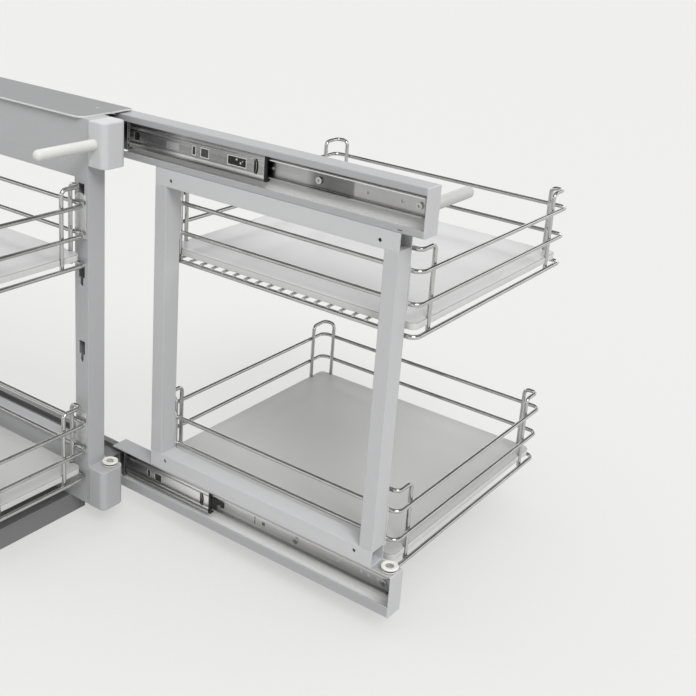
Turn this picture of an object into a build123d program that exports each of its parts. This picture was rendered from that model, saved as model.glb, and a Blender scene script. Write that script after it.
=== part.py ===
from build123d import *
import os

# Pull-out shelf for a corner cupboard: a fixed frame with narrow baskets carries a framed
# shelf with two deep wire baskets on an upper and a lower telescopic ball slide.
# X runs along the slides, +X is the way the shelf pulls out. +Y points from the fixed
# frame to the deep baskets. +Z is up. The origin is on the cupboard floor, at the centre of
# the four screw holes in the base beams.

os.makedirs("parts", exist_ok=True)

# Slides and travel
slide_length = 480.0         # fixed and shelf members
middle_shorter = 40.0        # how much shorter the middle members are
pull = 474.0                 # how far the shelf is out as drawn
top_set_back = 4.0           # middle members' front ends behind the fixed ones, closed
bottom_set_back = 30.0
top_middle_lag = 230.0       # how far the middle members stay behind the shelf's pull
bottom_middle_lag = 276.0
shelf_half = 12.2            # half height of the shelf members
slide_depth = 12.7
web_t = 1.0
flange_t = 2.2
middle_flange_t = 2.3
shelf_web_t = 1.4
shelf_flange_t = 1.6
middle_gap = 0.8             # between the fixed member's web and the middle one's

# Balls and cages
ball_d = 4.0
ball_gap = 0.05              # radial running clearance of the balls
balls_per_row = 8
ball_depth = 7.0             # ball rows from the fixed member's back
ball_seat = 1.45             # middle of a ball row from the flanges on either side
groove_cover = 2.7           # flange past the middle of the ball row
cage_length = 148.0
cage_t = 0.8
cage_gap = 0.2
cage_past_ball = 0.4         # cage strip past the ball's back
top_outer_back = 2.0         # outer cages' middles behind the fixed member's, closed
bottom_outer_back = 5.0
top_cage_clear = 12.0        # top inner cage behind the latch lever
bottom_cage_clear = 3.0      # bottom inner cage behind the buffer's tongue

# Holes and windows of the slide members, as distances behind a member's front end
screw_inset = 10.0
screw_back_inset = 38.0
screw_count = 4
spare_holes = (34.0, 82.0, 226.0, 370.0)
fixed_screw_inset = 40.0
fixed_screw_count = 5
window_h = 11.0
latch_window = (45.0, 30.0)  # middle and length
long_window = (100.0, 13.0)
short_window = (119.0, 5.0)
square_window = (224.0, 10.0)
arc_back = 32.0              # middle of the end slot's arc
arc_r = 23.0
arc_w = 3.0
arc_h = 20.0

# End buffers and latches of the middle members
buffer_t = 4.0
buffer_gap = 1.0             # between a buffer's ears and the shelf member
tongue_t = 1.4
tongue_length = 20.0
tongue_h = 24.0
lever_length = 38.0
lever_h = 16.0
lever_lug = 0.8              # how far the lever's lugs stand out into its window
lever_lug_h = 8.0
lever_lugs = ((-5.0, 12.0), (10.0, 5.0))    # places from the window's middle, and lengths
arm_length = 24.0
arm_h = 16.0
arm_rise = 1.0               # arm's middle above the slide's middle line
finger_h = 6.0
finger_length = 14.0
finger_tip = 6.0
finger_drop = 2.5

# Shelf rails, channels open towards the fixed frame
rail_gap = 30.0              # open faces of the rails from the fixed beams
plate_gap = 2.0              # top rail below the top plate
rail_d = 28.0
rail_t = 2.0
rail_lip = 9.0               # top rail's lips
bottom_rail_lip = 15.0       # bottom rail's lower lip, it has no upper one
rail_behind = 6.0            # rail behind the shelf member's back end
rail_front = 14.0            # rail past its front end
end_plate_t = 2.0
rail_bend_r = 1.2

# Shelf frame of rectangular tube
frame_h = 448.0
frame_back_inset = 79.5      # frame's sides from the rails' ends
frame_front_inset = 31.5
tube_w = 20.0
tube_wall = 1.5
beam_h = 24.0
frame_hole_d = 5.0
frame_hole_inset = 27.5
frame_hole_drop = 14.5

# Fixed frame
fixed_beam_h = 62.0
fixed_beam_front = 105.0
fixed_beam_back = 141.0
fixed_beam_wall = 2.5
block_length = 30.0
block_grow = 2.0
block_r = 9.0
block_edge_r = 2.5
slide_inset = 11.0           # slides' ends inside the fixed beams' ends
post_w = 26.0
post_d = 30.0
post_wall = 2.0
post_inset = 16.0            # middle of a post from the beam's end
cross_tube_h = 20.0
base_beam_w = 40.0
base_beam_h = 32.0
base_beam_wall = 2.0
base_beam_inset = 63.0       # middle of a base beam from the fixed beam's end
base_hole_d = 6.5
base_hole_span = 200.0
base_front_end = 14.0        # base beams past their holes
base_back_end = 34.0
plate_inset = 11.0           # plate's ends inside the fixed beams' ends
plate_t = 2.5
plate_lap = 5.0              # plate in front of the fixed beams
plate_set_back = 7.0         # plate's back edge short of the rails' backs
plate_r = 14.0
plate_hole_d = 5.0
plate_hole_inset = 30.0      # from the plate's end
plate_hole_edge = 35.0       # from the plate's back edge
spacer_gap = 1.0             # between the spacers and the bottom rail's lip
spacer_wall = 2.0
spacer_inset = 10.0
keyhole_w = 12.0
keyhole_neck_w = 6.0
keyhole_h = 20.0
keyhole_neck_h = 12.0
keyhole_rows = 4
keyhole_drop = 27.0          # top keyhole below the posts' tops
keyhole_low = 79.0           # top edge of the lowest keyhole above the posts' feet

# Baskets
wire_d = 6.0
floor_wire_d = 4.0
weld = 0.25                  # how deep one wire is sunk in the next at a weld
rail_step = 42.0
upper_hang = 110.0           # bottom rails below the keyholes that the baskets hang from
lower_hang = 92.0
loop_r = 12.0
rise = 26.0                  # corner loop above the top rail
leg_x = 25.0                 # corner loop's legs from the basket's corner
leg_y = 38.0
loop_bend_r = 8.0
shelf_basket_past = 13.5     # deep baskets past the shelf frame on each side
shelf_basket_d = 404.0
front_basket_inset = 1.0     # narrow baskets' ends inside the fixed beams' ends
front_basket_d = 190.0
floor_pitch = 19.5
floor_edge = 26.0            # least distance of a floor wire from the side rail
board_inset = 5.0            # board's edge from the bottom rail's middle
board_t = 9.0
board_r = 10.0
board_edge_r = 1.5
board_notch_r = 4.0          # round the corner loops' legs
hook_t = 2.0
hook_w = 22.0
hook_above = 14.0
hook_below = 50.0
hook_gap = 0.4               # hook in the keyhole's neck
hook_lip_gap = 0.3           # hook's lip behind the post's wall
hook_lip_t = 1.7
hook_tongue_h = 9.0
hook_lip_h = 4.0

# Rods, rollers and screws
rod_d = 15.0
rod_length = 97.0
rod_end_r = 6.5
rod_drop = 31.0              # rod axis below the top of the fixed beam
rod_past_beam = 10.0         # fixed rod's axis past the beam's end
roller_d = 23.0
roller_h = 6.5
roller_lift = 0.5
roller_recess_d = 11.0
roller_recess = 3.2
roller_edge_r = 1.2
fixed_roller_inset = 11.0    # from the beam's back
shelf_roller_inset = 12.0    # from the rail's front end
bolt_d = 5.0
bolt_gap = 0.05              # radial running clearance of the rollers
bolt_head_d = 9.6
bolt_head_h = 2.6
bolt_head_lift = 0.2         # between the recess and the bolt's head
bolt_depth = 5.0
washer_d = 10.0
washer_gap = 0.1             # between the washer and the roller
screw_d = 4.0
screw_head_d = 9.0
screw_head_h = 2.6
countersunk_d = 7.0
countersunk_length = 6.0
drive_d = 4.0
drive_w = 1.0
drive_depth = 1.4

# Places worked out from the sizes above
slide_x = slide_length / 2
middle_length = slide_length - middle_shorter
fixed_span = slide_length + 2 * slide_inset
beam_end = fixed_span / 2
shelf_member_x1 = slide_x + pull
rail_x0 = shelf_member_x1 - slide_length - rail_behind
rail_x1 = shelf_member_x1 + rail_front
rail_h = fixed_beam_h - plate_gap
rail_y = fixed_beam_back + rail_gap
rail_mid_y = rail_y + rail_d / 2
rail_back_y = rail_y + rail_d
frame_w = rail_x1 - rail_x0 - frame_back_inset - frame_front_inset
frame_x = rail_x0 + frame_back_inset + frame_w / 2
upright_x = (frame_w - tube_w) / 2
post_x = beam_end - post_inset
base_beam_x = beam_end - base_beam_inset
base_beam_back = base_hole_span / 2 + base_back_end
base_beam_front = -base_hole_span / 2 - base_front_end
slide_back = rail_back_y - rail_t
slide_front = slide_back - slide_depth
ball_y = slide_front + ball_depth
ball_r = ball_d / 2
groove_r = ball_r + ball_gap
inner_ball_z = shelf_half + ball_seat
middle_inside = inner_ball_z + ball_seat
middle_half = middle_inside + middle_flange_t
outer_ball_z = middle_half + ball_seat
fixed_half = outer_ball_z + ball_seat + flange_t
middle_front = slide_front + web_t + middle_gap
middle_back = middle_front + web_t
top_middle_out = pull - top_middle_lag
bottom_middle_out = pull - bottom_middle_lag
top_middle_x = slide_x + top_middle_out - top_set_back
bottom_middle_x = slide_x + bottom_middle_out - bottom_set_back
top_outer_x = top_middle_out / 2 - top_outer_back
bottom_outer_x = bottom_middle_out / 2 - bottom_outer_back
top_inner_x = top_middle_x - latch_window[0] - (lever_length + cage_length) / 2 - top_cage_clear
bottom_inner_x = bottom_middle_x - tongue_length - bottom_cage_clear - cage_length / 2
frame_z0 = base_beam_h + fixed_beam_h
frame_z1 = frame_z0 + frame_h
top_slide_z = frame_z1 + rail_h / 2
bottom_slide_z = frame_z0 - rail_h / 2
spacer_h = rail_h - 2 * (bottom_rail_lip + spacer_gap)
fixed_bottom_z = frame_z0 - fixed_beam_h
fixed_top_z = frame_z1
fixed_beam_y = (fixed_beam_front + fixed_beam_back) / 2
fixed_beam_d = fixed_beam_back - fixed_beam_front
post_y = fixed_beam_front + post_d / 2
plate_z = fixed_top_z + fixed_beam_h
plate_length = fixed_span - 2 * plate_inset
plate_front = fixed_beam_front - plate_lap
plate_back = rail_back_y - plate_set_back
keyhole_pitch = (frame_h - keyhole_drop - keyhole_low) / (keyhole_rows - 1)
keyhole_tops = [frame_z1 - keyhole_drop - row * keyhole_pitch for row in range(keyhole_rows)]
basket_upper_z = keyhole_tops[0] - upper_hang
basket_lower_z = keyhole_tops[-1] - lower_hang
shelf_basket_w = frame_w + 2 * shelf_basket_past
front_basket_w = fixed_span - 2 * front_basket_inset
shelf_basket_y0 = rail_back_y + hook_t + wire_d / 2 - weld
front_basket_y1 = fixed_beam_front - hook_t - wire_d / 2 + weld
rod_z = plate_z - rod_drop
fixed_rod_x = beam_end + rod_past_beam
fixed_roller_x = beam_end + block_length / 2
fixed_roller_y = fixed_beam_back - fixed_roller_inset
screw_pitch = (slide_length - screw_inset - screw_back_inset) / (screw_count - 1)
screw_xs = [shelf_member_x1 - screw_inset - n * screw_pitch for n in range(screw_count)]
fixed_screw_pitch = (slide_length - 2 * fixed_screw_inset) / (fixed_screw_count - 1)
fixed_screw_xs = [slide_x - fixed_screw_inset - n * fixed_screw_pitch
                  for n in range(fixed_screw_count)]
shelf_roller_x = rail_x1 - shelf_roller_inset


def channel(zc, lower_lip, upper_lip):
    """Face of a channel open towards -Y, in a plane across the slides."""
    with Locations((rail_mid_y, zc)):
        Rectangle(rail_d, rail_h)
    fillet(vertices(), rail_bend_r)
    with Locations((rail_mid_y, zc)):
        Rectangle(rail_d - 2 * rail_t, rail_h - 2 * rail_t, mode=Mode.SUBTRACT)
    with Locations((rail_y + rail_t / 2, zc + (lower_lip - upper_lip) / 2)):
        Rectangle(rail_t, rail_h - lower_lip - upper_lip, mode=Mode.SUBTRACT)


def member_section(zc, front, web, y0, y1, inside, outside):
    """Face of one slide member: a web from front to front + web and two flanges."""
    with Locations((front + web / 2, zc)):
        Rectangle(web, 2 * outside)
    for side in (-1, 1):
        with Locations(((y0 + y1) / 2, zc + side * (inside + outside) / 2)):
            Rectangle(y1 - y0, outside - inside)


def grooves(zc, from_middle):
    """Cut the two ball grooves at this distance from the slide's middle line."""
    for side in (-1, 1):
        with Locations((ball_y, zc + side * from_middle)):
            Circle(groove_r, mode=Mode.SUBTRACT)


def box(x0, x1, y0, y1, z0, z1, mode=Mode.ADD):
    """A plain block between two corners."""
    with Locations(((x0 + x1) / 2, (y0 + y1) / 2, (z0 + z1) / 2)):
        Box(x1 - x0, y1 - y0, z1 - z0, mode=mode)


def tube_along_z(x, y, w, d, wall, z0, z1):
    """A rectangular tube standing upright."""
    with BuildSketch(Plane.XY.offset(z0)) as face:
        with Locations((x, y)):
            Rectangle(w, d)
            Rectangle(w - 2 * wall, d - 2 * wall, mode=Mode.SUBTRACT)
    extrude(face.sketch, amount=z1 - z0)


def tube_along_x(y, z, d, h, wall, x0, x1):
    """A rectangular tube lying along the slides."""
    with BuildSketch(Plane.YZ.offset(x0)) as face:
        with Locations((y, z)):
            Rectangle(d, h)
            Rectangle(d - 2 * wall, h - 2 * wall, mode=Mode.SUBTRACT)
    extrude(face.sketch, amount=x1 - x0)


def wire(line):
    """Sweep a round wire along a line."""
    with BuildSketch(Plane(origin=line @ 0, z_dir=line % 0)) as face:
        Circle(wire_d / 2)
    sweep(face.sketch, path=line)


def rail_loop(x0, x1, y0, y1, z):
    """One closed wire rail with rounded corners."""
    with BuildLine(Plane.XY.offset(z)) as path:
        FilletPolyline((x0, y0), (x1, y0), (x1, y1), (x0, y1), radius=loop_r, close=True)
    wire(path.line)


def corner_loop(x, y, dx, dy, z0, z1):
    """An upside-down U bent round a basket corner, with its legs inside the rails."""
    inset = wire_d - weld
    xi = x + dx * inset
    yi = y + dy * inset
    with BuildLine() as path:
        FilletPolyline((x + dx * leg_x, yi, z0), (x + dx * leg_x, yi, z1), (xi, yi, z1),
                       (xi, y + dy * leg_y, z1), (xi, y + dy * leg_y, z0), radius=loop_bend_r)
    wire(path.line)


def basket_rails(x0, x1, y0, y1, z):
    """The three rails of a basket."""
    for step in range(3):
        rail_loop(x0, x1, y0, y1, z + step * rail_step)


def basket_corners(x0, x1, y0, y1, z):
    """The four corner loops of a basket, welded to the inside of its rails."""
    top = z + 2 * rail_step + rise
    for x, dx in ((x0, 1), (x1, -1)):
        for y, dy in ((y0, 1), (y1, -1)):
            corner_loop(x, y, dx, dy, z - wire_d / 2, top)


def basket_floor(x0, x1, y0, y1, z):
    """The floor wires, laid across the bottom rail."""
    count = int((x1 - x0 - 2 * floor_edge) / floor_pitch) + 1
    for n in range(count):
        x = (x0 + x1) / 2 + (n - (count - 1) / 2) * floor_pitch
        with BuildSketch(Plane.XZ.offset(-(y0 - floor_wire_d / 2))) as face:
            with Locations((x, z + (wire_d + floor_wire_d) / 2 - weld)):
                Circle(floor_wire_d / 2)
        extrude(face.sketch, amount=-(y1 - y0 + floor_wire_d))


def basket_board(x0, x1, y0, y1, z):
    """A flat board on the floor wires, notched round the legs of the corner loops."""
    z0 = z + wire_d / 2 + floor_wire_d - weld
    with BuildSketch(Plane.XY.offset(z0)) as face:
        with Locations(((x0 + x1) / 2, (y0 + y1) / 2)):
            RectangleRounded(x1 - x0 - 2 * board_inset, y1 - y0 - 2 * board_inset, board_r)
    extrude(face.sketch, amount=board_t)
    fillet(edges().filter_by_position(Axis.Z, z0 + board_t, z0 + board_t), board_edge_r)
    leg = wire_d - weld
    with BuildSketch(Plane.XY.offset(z0)) as face:
        for x, dx in ((x0, 1), (x1, -1)):
            for y, dy in ((y0, 1), (y1, -1)):
                with Locations((x + dx * leg_x, y + dy * leg), (x + dx * leg, y + dy * leg_y)):
                    Circle(board_notch_r)
    extrude(face.sketch, amount=board_t, mode=Mode.SUBTRACT)


def hook_plate(x, y, z, tab):
    """A round-topped plate from y to y + hook_t, with a hook through a keyhole if tab is set."""
    z_top = z + 2 * rail_step + hook_above
    z_low = z + 2 * rail_step - hook_below
    with BuildSketch(Plane.XZ.offset(-y)) as face:
        with Locations((x, (z_low + z_top - hook_w / 2) / 2)):
            Rectangle(hook_w, z_top - hook_w / 2 - z_low)
        with Locations((x, z_top - hook_w / 2)):
            Circle(hook_w / 2)
    extrude(face.sketch, amount=-hook_t)
    if tab:
        half = keyhole_neck_w / 2 - hook_gap
        neck_low = tab - keyhole_h - keyhole_neck_h + keyhole_neck_w / 2
        inside = y + hook_t + post_wall
        end = inside + hook_lip_gap + hook_lip_t
        box(x - half, x + half, y + hook_t, end, neck_low, neck_low + hook_tongue_h)
        box(x - half, x + half, end - hook_lip_t, end, neck_low - hook_lip_h, neck_low)


def pan_head_screw(x, y, z, length):
    """A pan head at y facing -Y, with its shank running towards +Y."""
    with BuildSketch(Plane.XZ.offset(-y)) as face:
        with Locations((x, z)):
            Circle(screw_head_d / 2)
    extrude(face.sketch, amount=screw_head_h)
    with BuildSketch(Plane.XZ.offset(-y)) as face:
        with Locations((x, z)):
            Circle(screw_d / 2)
    extrude(face.sketch, amount=-length)
    with BuildSketch(Plane.XZ.offset(-(y - screw_head_h))) as face:
        with Locations((x, z)):
            Rectangle(drive_d, drive_w)
            Rectangle(drive_w, drive_d)
    extrude(face.sketch, amount=-drive_depth, mode=Mode.SUBTRACT)


def roller_bolt(x, y, z):
    """A bolt standing in the part below, with its round head in the roller's recess."""
    head_z = z + roller_lift + roller_h - roller_recess + bolt_head_lift
    with BuildSketch(Plane.XY.offset(z - bolt_depth)) as face:
        with Locations((x, y)):
            Circle(bolt_d / 2)
    extrude(face.sketch, amount=head_z - z + bolt_depth)
    with BuildSketch(Plane.XY.offset(head_z)) as face:
        with Locations((x, y)):
            Circle(bolt_head_d / 2)
    extrude(face.sketch, amount=bolt_head_h)
    with BuildSketch(Plane.XY.offset(head_z + bolt_head_h)) as face:
        with Locations((x, y)):
            RegularPolygon(drive_d / 2, 6)
    extrude(face.sketch, amount=-drive_depth, mode=Mode.SUBTRACT)
    with BuildSketch(Plane.XY.offset(z)) as face:
        with Locations((x, y)):
            Circle(washer_d / 2)
    extrude(face.sketch, amount=roller_lift - washer_gap)


def roller_disc(x, y, z):
    """A disc with a recess for the bolt's head and a running fit on its shank."""
    with BuildSketch(Plane.XY.offset(z + roller_lift)) as face:
        with Locations((x, y)):
            Circle(roller_d / 2)
            Circle(bolt_d / 2 + bolt_gap, mode=Mode.SUBTRACT)
    extrude(face.sketch, amount=roller_h)
    rims = edges().filter_by(GeomType.CIRCLE).sort_by(SortBy.RADIUS)[-2:]
    fillet(rims, roller_edge_r)
    with BuildSketch(Plane.XY.offset(z + roller_lift + roller_h)) as face:
        with Locations((x, y)):
            Circle(roller_recess_d / 2)
    extrude(face.sketch, amount=-roller_recess, mode=Mode.SUBTRACT)


def rod(x, y, z, length):
    """A round rod from y, towards +Y where length is positive, with a rounded free end."""
    with BuildSketch(Plane.XZ.offset(-y)) as face:
        with Locations((x, z)):
            Circle(rod_d / 2)
    extrude(face.sketch, amount=-length)
    free_end = edges().filter_by(GeomType.CIRCLE).sort_by(Axis.Y)[-1 if length > 0 else 0]
    fillet(free_end, rod_end_r)


def ball_cage(x, zc, row, web_y0, web_y1):
    """Two strips with ball holes, joined by a web, as one bent piece."""
    x0 = x - cage_length / 2
    y1 = ball_y + ball_r + cage_past_ball
    reach = row + cage_t / 2
    with BuildSketch(Plane.YZ.offset(x0)) as face:
        with Locations(((web_y0 + web_y1) / 2, zc)):
            Rectangle(web_y1 - web_y0, 2 * reach)
        for side in (-1, 1):
            with Locations(((web_y0 + y1) / 2, zc + side * row)):
                Rectangle(y1 - web_y0, cage_t)
    extrude(face.sketch, amount=cage_length)
    for bx in ball_places(x):
        with BuildSketch(Plane.XY.offset(zc - reach)) as face:
            with Locations((bx, ball_y)):
                Circle(groove_r)
        extrude(face.sketch, amount=2 * reach, mode=Mode.SUBTRACT)


def ball_places(x):
    """Where the balls of one row sit in a cage centred at x."""
    step = cage_length / balls_per_row
    return [x + (n - (balls_per_row - 1) / 2) * step for n in range(balls_per_row)]


def ball_set(x, zc, row):
    """The two rows of balls of one cage."""
    with Locations(*[(bx, ball_y, zc + side * row) for bx in ball_places(x) for side in (-1, 1)]):
        Sphere(ball_r)


def middle_member(x1, zc, windows):
    """The middle member, with windows and an arc slot cut in its web."""
    x0 = x1 - middle_length
    with BuildSketch(Plane.YZ.offset(x0)) as face:
        member_section(zc, middle_front, web_t, middle_front, ball_y + groove_cover,
                       middle_inside, middle_half)
        grooves(zc, inner_ball_z)
        grooves(zc, outer_ball_z)
    extrude(face.sketch, amount=middle_length)
    for back, length in windows:
        box(x1 - back - length / 2, x1 - back + length / 2, middle_front, middle_back,
            zc - window_h / 2, zc + window_h / 2, mode=Mode.SUBTRACT)
    with BuildSketch(Plane.XZ.offset(-middle_front)) as face:
        with Locations((x1 - arc_back, zc)):
            Circle(arc_r)
            Circle(arc_r - arc_w, mode=Mode.SUBTRACT)
        with Locations((x1 - arc_back + arc_r, zc)):
            Rectangle(2 * arc_r, arc_h, mode=Mode.INTERSECT)
    extrude(face.sketch, amount=-web_t, mode=Mode.SUBTRACT)


def end_buffer(x1, zc):
    """The plastic piece on the front end of a middle member, with a tongue behind its web."""
    box(x1, x1 + buffer_t, middle_front, middle_back + tongue_t, zc - middle_half, zc + middle_half)
    for side in (-1, 1):
        za = zc + side * (shelf_half + buffer_gap)
        zb = zc + side * middle_half
        box(x1, x1 + buffer_t, middle_front, ball_y + groove_cover, min(za, zb), max(za, zb))
    box(x1 - tongue_length, x1, middle_back, middle_back + tongue_t,
        zc - tongue_h / 2, zc + tongue_h / 2)


def shelf_member(zc):
    """The member that is screwed inside a shelf rail."""
    x0 = shelf_member_x1 - slide_length
    with BuildSketch(Plane.YZ.offset(x0)) as face:
        member_section(zc, slide_back - shelf_web_t, shelf_web_t, ball_y - groove_r, slide_back,
                       shelf_half - shelf_flange_t, shelf_half)
        grooves(zc, inner_ball_z)
    extrude(face.sketch, amount=slide_length)
    with BuildSketch(Plane.XZ.offset(-slide_back + shelf_web_t)) as face:
        with Locations(*[(x, zc) for x in screw_xs]):
            Circle(screw_d / 2)
        with Locations(*[(shelf_member_x1 - d, zc) for d in spare_holes]):
            Circle(screw_d / 2)
    extrude(face.sketch, amount=-shelf_web_t, mode=Mode.SUBTRACT)


def shelf_rail(zc, lower_lip, upper_lip):
    """A shelf rail with holes for the slide's screws."""
    with BuildSketch(Plane.YZ.offset(rail_x0)) as face:
        channel(zc, lower_lip, upper_lip)
    extrude(face.sketch, amount=rail_x1 - rail_x0 - end_plate_t)
    with BuildSketch(Plane.XZ.offset(-slide_back)) as face:
        with Locations(*[(x, zc) for x in screw_xs]):
            Circle(screw_d / 2)
    extrude(face.sketch, amount=-rail_t, mode=Mode.SUBTRACT)


def fixed_member(zc):
    """The fixed slide member, with countersunk screw holes in its web."""
    with BuildSketch(Plane.YZ.offset(slide_x - slide_length)) as face:
        member_section(zc, slide_front, web_t, slide_front, ball_y + groove_cover,
                       fixed_half - flange_t, fixed_half)
        grooves(zc, outer_ball_z)
    extrude(face.sketch, amount=slide_length)
    for x in fixed_screw_xs:
        countersink(x, zc, Mode.SUBTRACT)


def countersink(x, zc, mode):
    """A countersunk screw's body, its flat head level with the fixed member's web."""
    y_face = slide_front + web_t
    head = (countersunk_d - screw_d) / 2
    with BuildSketch(Plane.XZ.offset(-y_face)) as face:
        with Locations((x, zc)):
            Circle(countersunk_d / 2)
    extrude(face.sketch, amount=head, taper=45, mode=mode)
    with BuildSketch(Plane.XZ.offset(-y_face)) as face:
        with Locations((x, zc)):
            Circle(screw_d / 2)
    extrude(face.sketch, amount=countersunk_length, mode=mode)


# Fixed frame: two beams, their end blocks, posts and cross tubes
with BuildPart() as fixed_top_beam:
    tube_along_x(fixed_beam_y, fixed_top_z + fixed_beam_h / 2, fixed_beam_d, fixed_beam_h,
                 fixed_beam_wall, -fixed_span / 2, fixed_span / 2)
fixed_top_beam.part.label = "fixed_top_beam"
export_step(fixed_top_beam.part, "parts/fixed_top_beam.step")

with BuildPart() as fixed_bottom_beam:
    tube_along_x(fixed_beam_y, fixed_bottom_z + fixed_beam_h / 2, fixed_beam_d, fixed_beam_h,
                 fixed_beam_wall, -fixed_span / 2, fixed_span / 2)
fixed_bottom_beam.part.label = "fixed_bottom_beam"
export_step(fixed_bottom_beam.part, "parts/fixed_bottom_beam.step")

with BuildPart() as fixed_end_blocks:
    for z in (fixed_bottom_z, fixed_top_z):
        for side in (-1, 1):
            with BuildSketch(Plane.XY.offset(z)):
                with Locations((side * (fixed_span + block_length) / 2, fixed_beam_y)):
                    Rectangle(block_length, fixed_beam_d + 2 * block_grow)
                outer = vertices().sort_by(Axis.X)
                fillet(outer[-2:] if side > 0 else outer[:2], block_r)
            extrude(amount=fixed_beam_h)
    flat = edges().filter_by_position(Axis.Z, fixed_bottom_z, fixed_bottom_z)
    flat += edges().filter_by_position(Axis.Z, plate_z, plate_z)
    fillet(flat, block_edge_r)
    with BuildSketch(Plane.XY.offset(frame_z0 - bolt_depth)):
        with Locations((fixed_roller_x, fixed_roller_y)):
            Circle(bolt_d / 2)
    extrude(amount=bolt_depth, mode=Mode.SUBTRACT)
fixed_end_blocks.part.label = "fixed_end_blocks"
export_step(fixed_end_blocks.part, "parts/fixed_end_blocks.step")

with BuildPart() as fixed_posts:
    for x in (-post_x, post_x):
        tube_along_z(x, post_y, post_w, post_d, post_wall, frame_z0, frame_z1)
    for z in keyhole_tops:
        with BuildSketch(Plane.XZ.offset(-fixed_beam_front)):
            for x in (-post_x, post_x):
                with Locations((x, z - keyhole_h / 2)):
                    Rectangle(keyhole_w, keyhole_h)
                with Locations((x, z - keyhole_h - keyhole_neck_h / 2 + keyhole_neck_w / 4)):
                    Rectangle(keyhole_neck_w, keyhole_neck_h - keyhole_neck_w / 2)
                with Locations((x, z - keyhole_h - keyhole_neck_h + keyhole_neck_w / 2)):
                    Circle(keyhole_neck_w / 2)
        extrude(amount=-post_wall, mode=Mode.SUBTRACT)
fixed_posts.part.label = "fixed_posts"
export_step(fixed_posts.part, "parts/fixed_posts.step")

with BuildPart() as fixed_cross_tubes:
    for z in (frame_z0 + cross_tube_h / 2, frame_z1 - cross_tube_h / 2):
        tube_along_x(post_y, z, post_d, cross_tube_h, post_wall,
                     post_w / 2 - post_x, post_x - post_w / 2)
fixed_cross_tubes.part.label = "fixed_cross_tubes"
export_step(fixed_cross_tubes.part, "parts/fixed_cross_tubes.step")

# Sheet plate on top of the fixed frame, over the shelf's top rail
with BuildPart() as top_plate:
    with BuildSketch(Plane.XY.offset(plate_z)):
        with Locations((0, (plate_front + plate_back) / 2)):
            Rectangle(plate_length, plate_back - plate_front)
        fillet(vertices().sort_by(Axis.Y)[:2], plate_r)
        with Locations((0, plate_back - plate_hole_edge)):
            with GridLocations(plate_length - 2 * plate_hole_inset, 0, 2, 1):
                Circle(plate_hole_d / 2, mode=Mode.SUBTRACT)
    extrude(amount=plate_t)
top_plate.part.label = "top_plate"
export_step(top_plate.part, "parts/top_plate.step")

# Box beams that stand the fixed frame on the cupboard floor
with BuildPart() as base_beams:
    for x in (-base_beam_x, base_beam_x):
        with BuildSketch(Plane.XZ.offset(-base_beam_front)):
            with Locations((x, base_beam_h / 2)):
                Rectangle(base_beam_w, base_beam_h)
                Rectangle(base_beam_w - 2 * base_beam_wall, base_beam_h - 2 * base_beam_wall,
                          mode=Mode.SUBTRACT)
        extrude(amount=-(base_beam_back - base_beam_front))
    with BuildSketch(Plane.XY):
        with GridLocations(2 * base_beam_x, base_hole_span, 2, 2):
            Circle(base_hole_d / 2)
    extrude(amount=base_beam_wall, mode=Mode.SUBTRACT)
base_beams.part.label = "base_beams"
export_step(base_beams.part, "parts/base_beams.step")

# Box spacers that carry the fixed slide members off the fixed beams
with BuildPart() as slide_spacers:
    for zc in (bottom_slide_z, top_slide_z):
        tube_along_x((fixed_beam_back + slide_front) / 2, zc, slide_front - fixed_beam_back, spacer_h,
                     spacer_wall, slide_x - slide_length + spacer_inset, slide_x - spacer_inset)
        for x in fixed_screw_xs:
            countersink(x, zc, Mode.SUBTRACT)
slide_spacers.part.label = "slide_spacers"
export_step(slide_spacers.part, "parts/slide_spacers.step")

# Fixed slide members and their screws
with BuildPart() as top_fixed_member:
    fixed_member(top_slide_z)
top_fixed_member.part.label = "top_fixed_member"
export_step(top_fixed_member.part, "parts/top_fixed_member.step")

with BuildPart() as bottom_fixed_member:
    fixed_member(bottom_slide_z)
bottom_fixed_member.part.label = "bottom_fixed_member"
export_step(bottom_fixed_member.part, "parts/bottom_fixed_member.step")

with BuildPart() as fixed_member_screws:
    for zc in (bottom_slide_z, top_slide_z):
        for x in fixed_screw_xs:
            countersink(x, zc, Mode.ADD)
fixed_member_screws.part.label = "fixed_member_screws"
export_step(fixed_member_screws.part, "parts/fixed_member_screws.step")

# Rod and roller on the fixed frame
with BuildPart() as fixed_rod:
    rod(fixed_rod_x, fixed_beam_front - block_grow, rod_z, -rod_length)
fixed_rod.part.label = "fixed_rod"
export_step(fixed_rod.part, "parts/fixed_rod.step")

with BuildPart() as fixed_roller_bolt:
    roller_bolt(fixed_roller_x, fixed_roller_y, frame_z0)
fixed_roller_bolt.part.label = "fixed_roller_bolt"
export_step(fixed_roller_bolt.part, "parts/fixed_roller_bolt.step")

with BuildPart() as fixed_roller:
    roller_disc(fixed_roller_x, fixed_roller_y, frame_z0)
fixed_roller.part.label = "fixed_roller"
export_step(fixed_roller.part, "parts/fixed_roller.step")

# Middle slide members, their end buffers and latch levers
with BuildPart() as top_middle_member:
    middle_member(top_middle_x, top_slide_z,
                  (latch_window, long_window, short_window, square_window))
top_middle_member.part.label = "top_middle_member"
export_step(top_middle_member.part, "parts/top_middle_member.step")

with BuildPart() as bottom_middle_member:
    middle_member(bottom_middle_x, bottom_slide_z, (long_window, short_window))
bottom_middle_member.part.label = "bottom_middle_member"
export_step(bottom_middle_member.part, "parts/bottom_middle_member.step")

with BuildPart() as top_end_buffer:
    end_buffer(top_middle_x, top_slide_z)
top_end_buffer.part.label = "top_end_buffer"
export_step(top_end_buffer.part, "parts/top_end_buffer.step")

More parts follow.
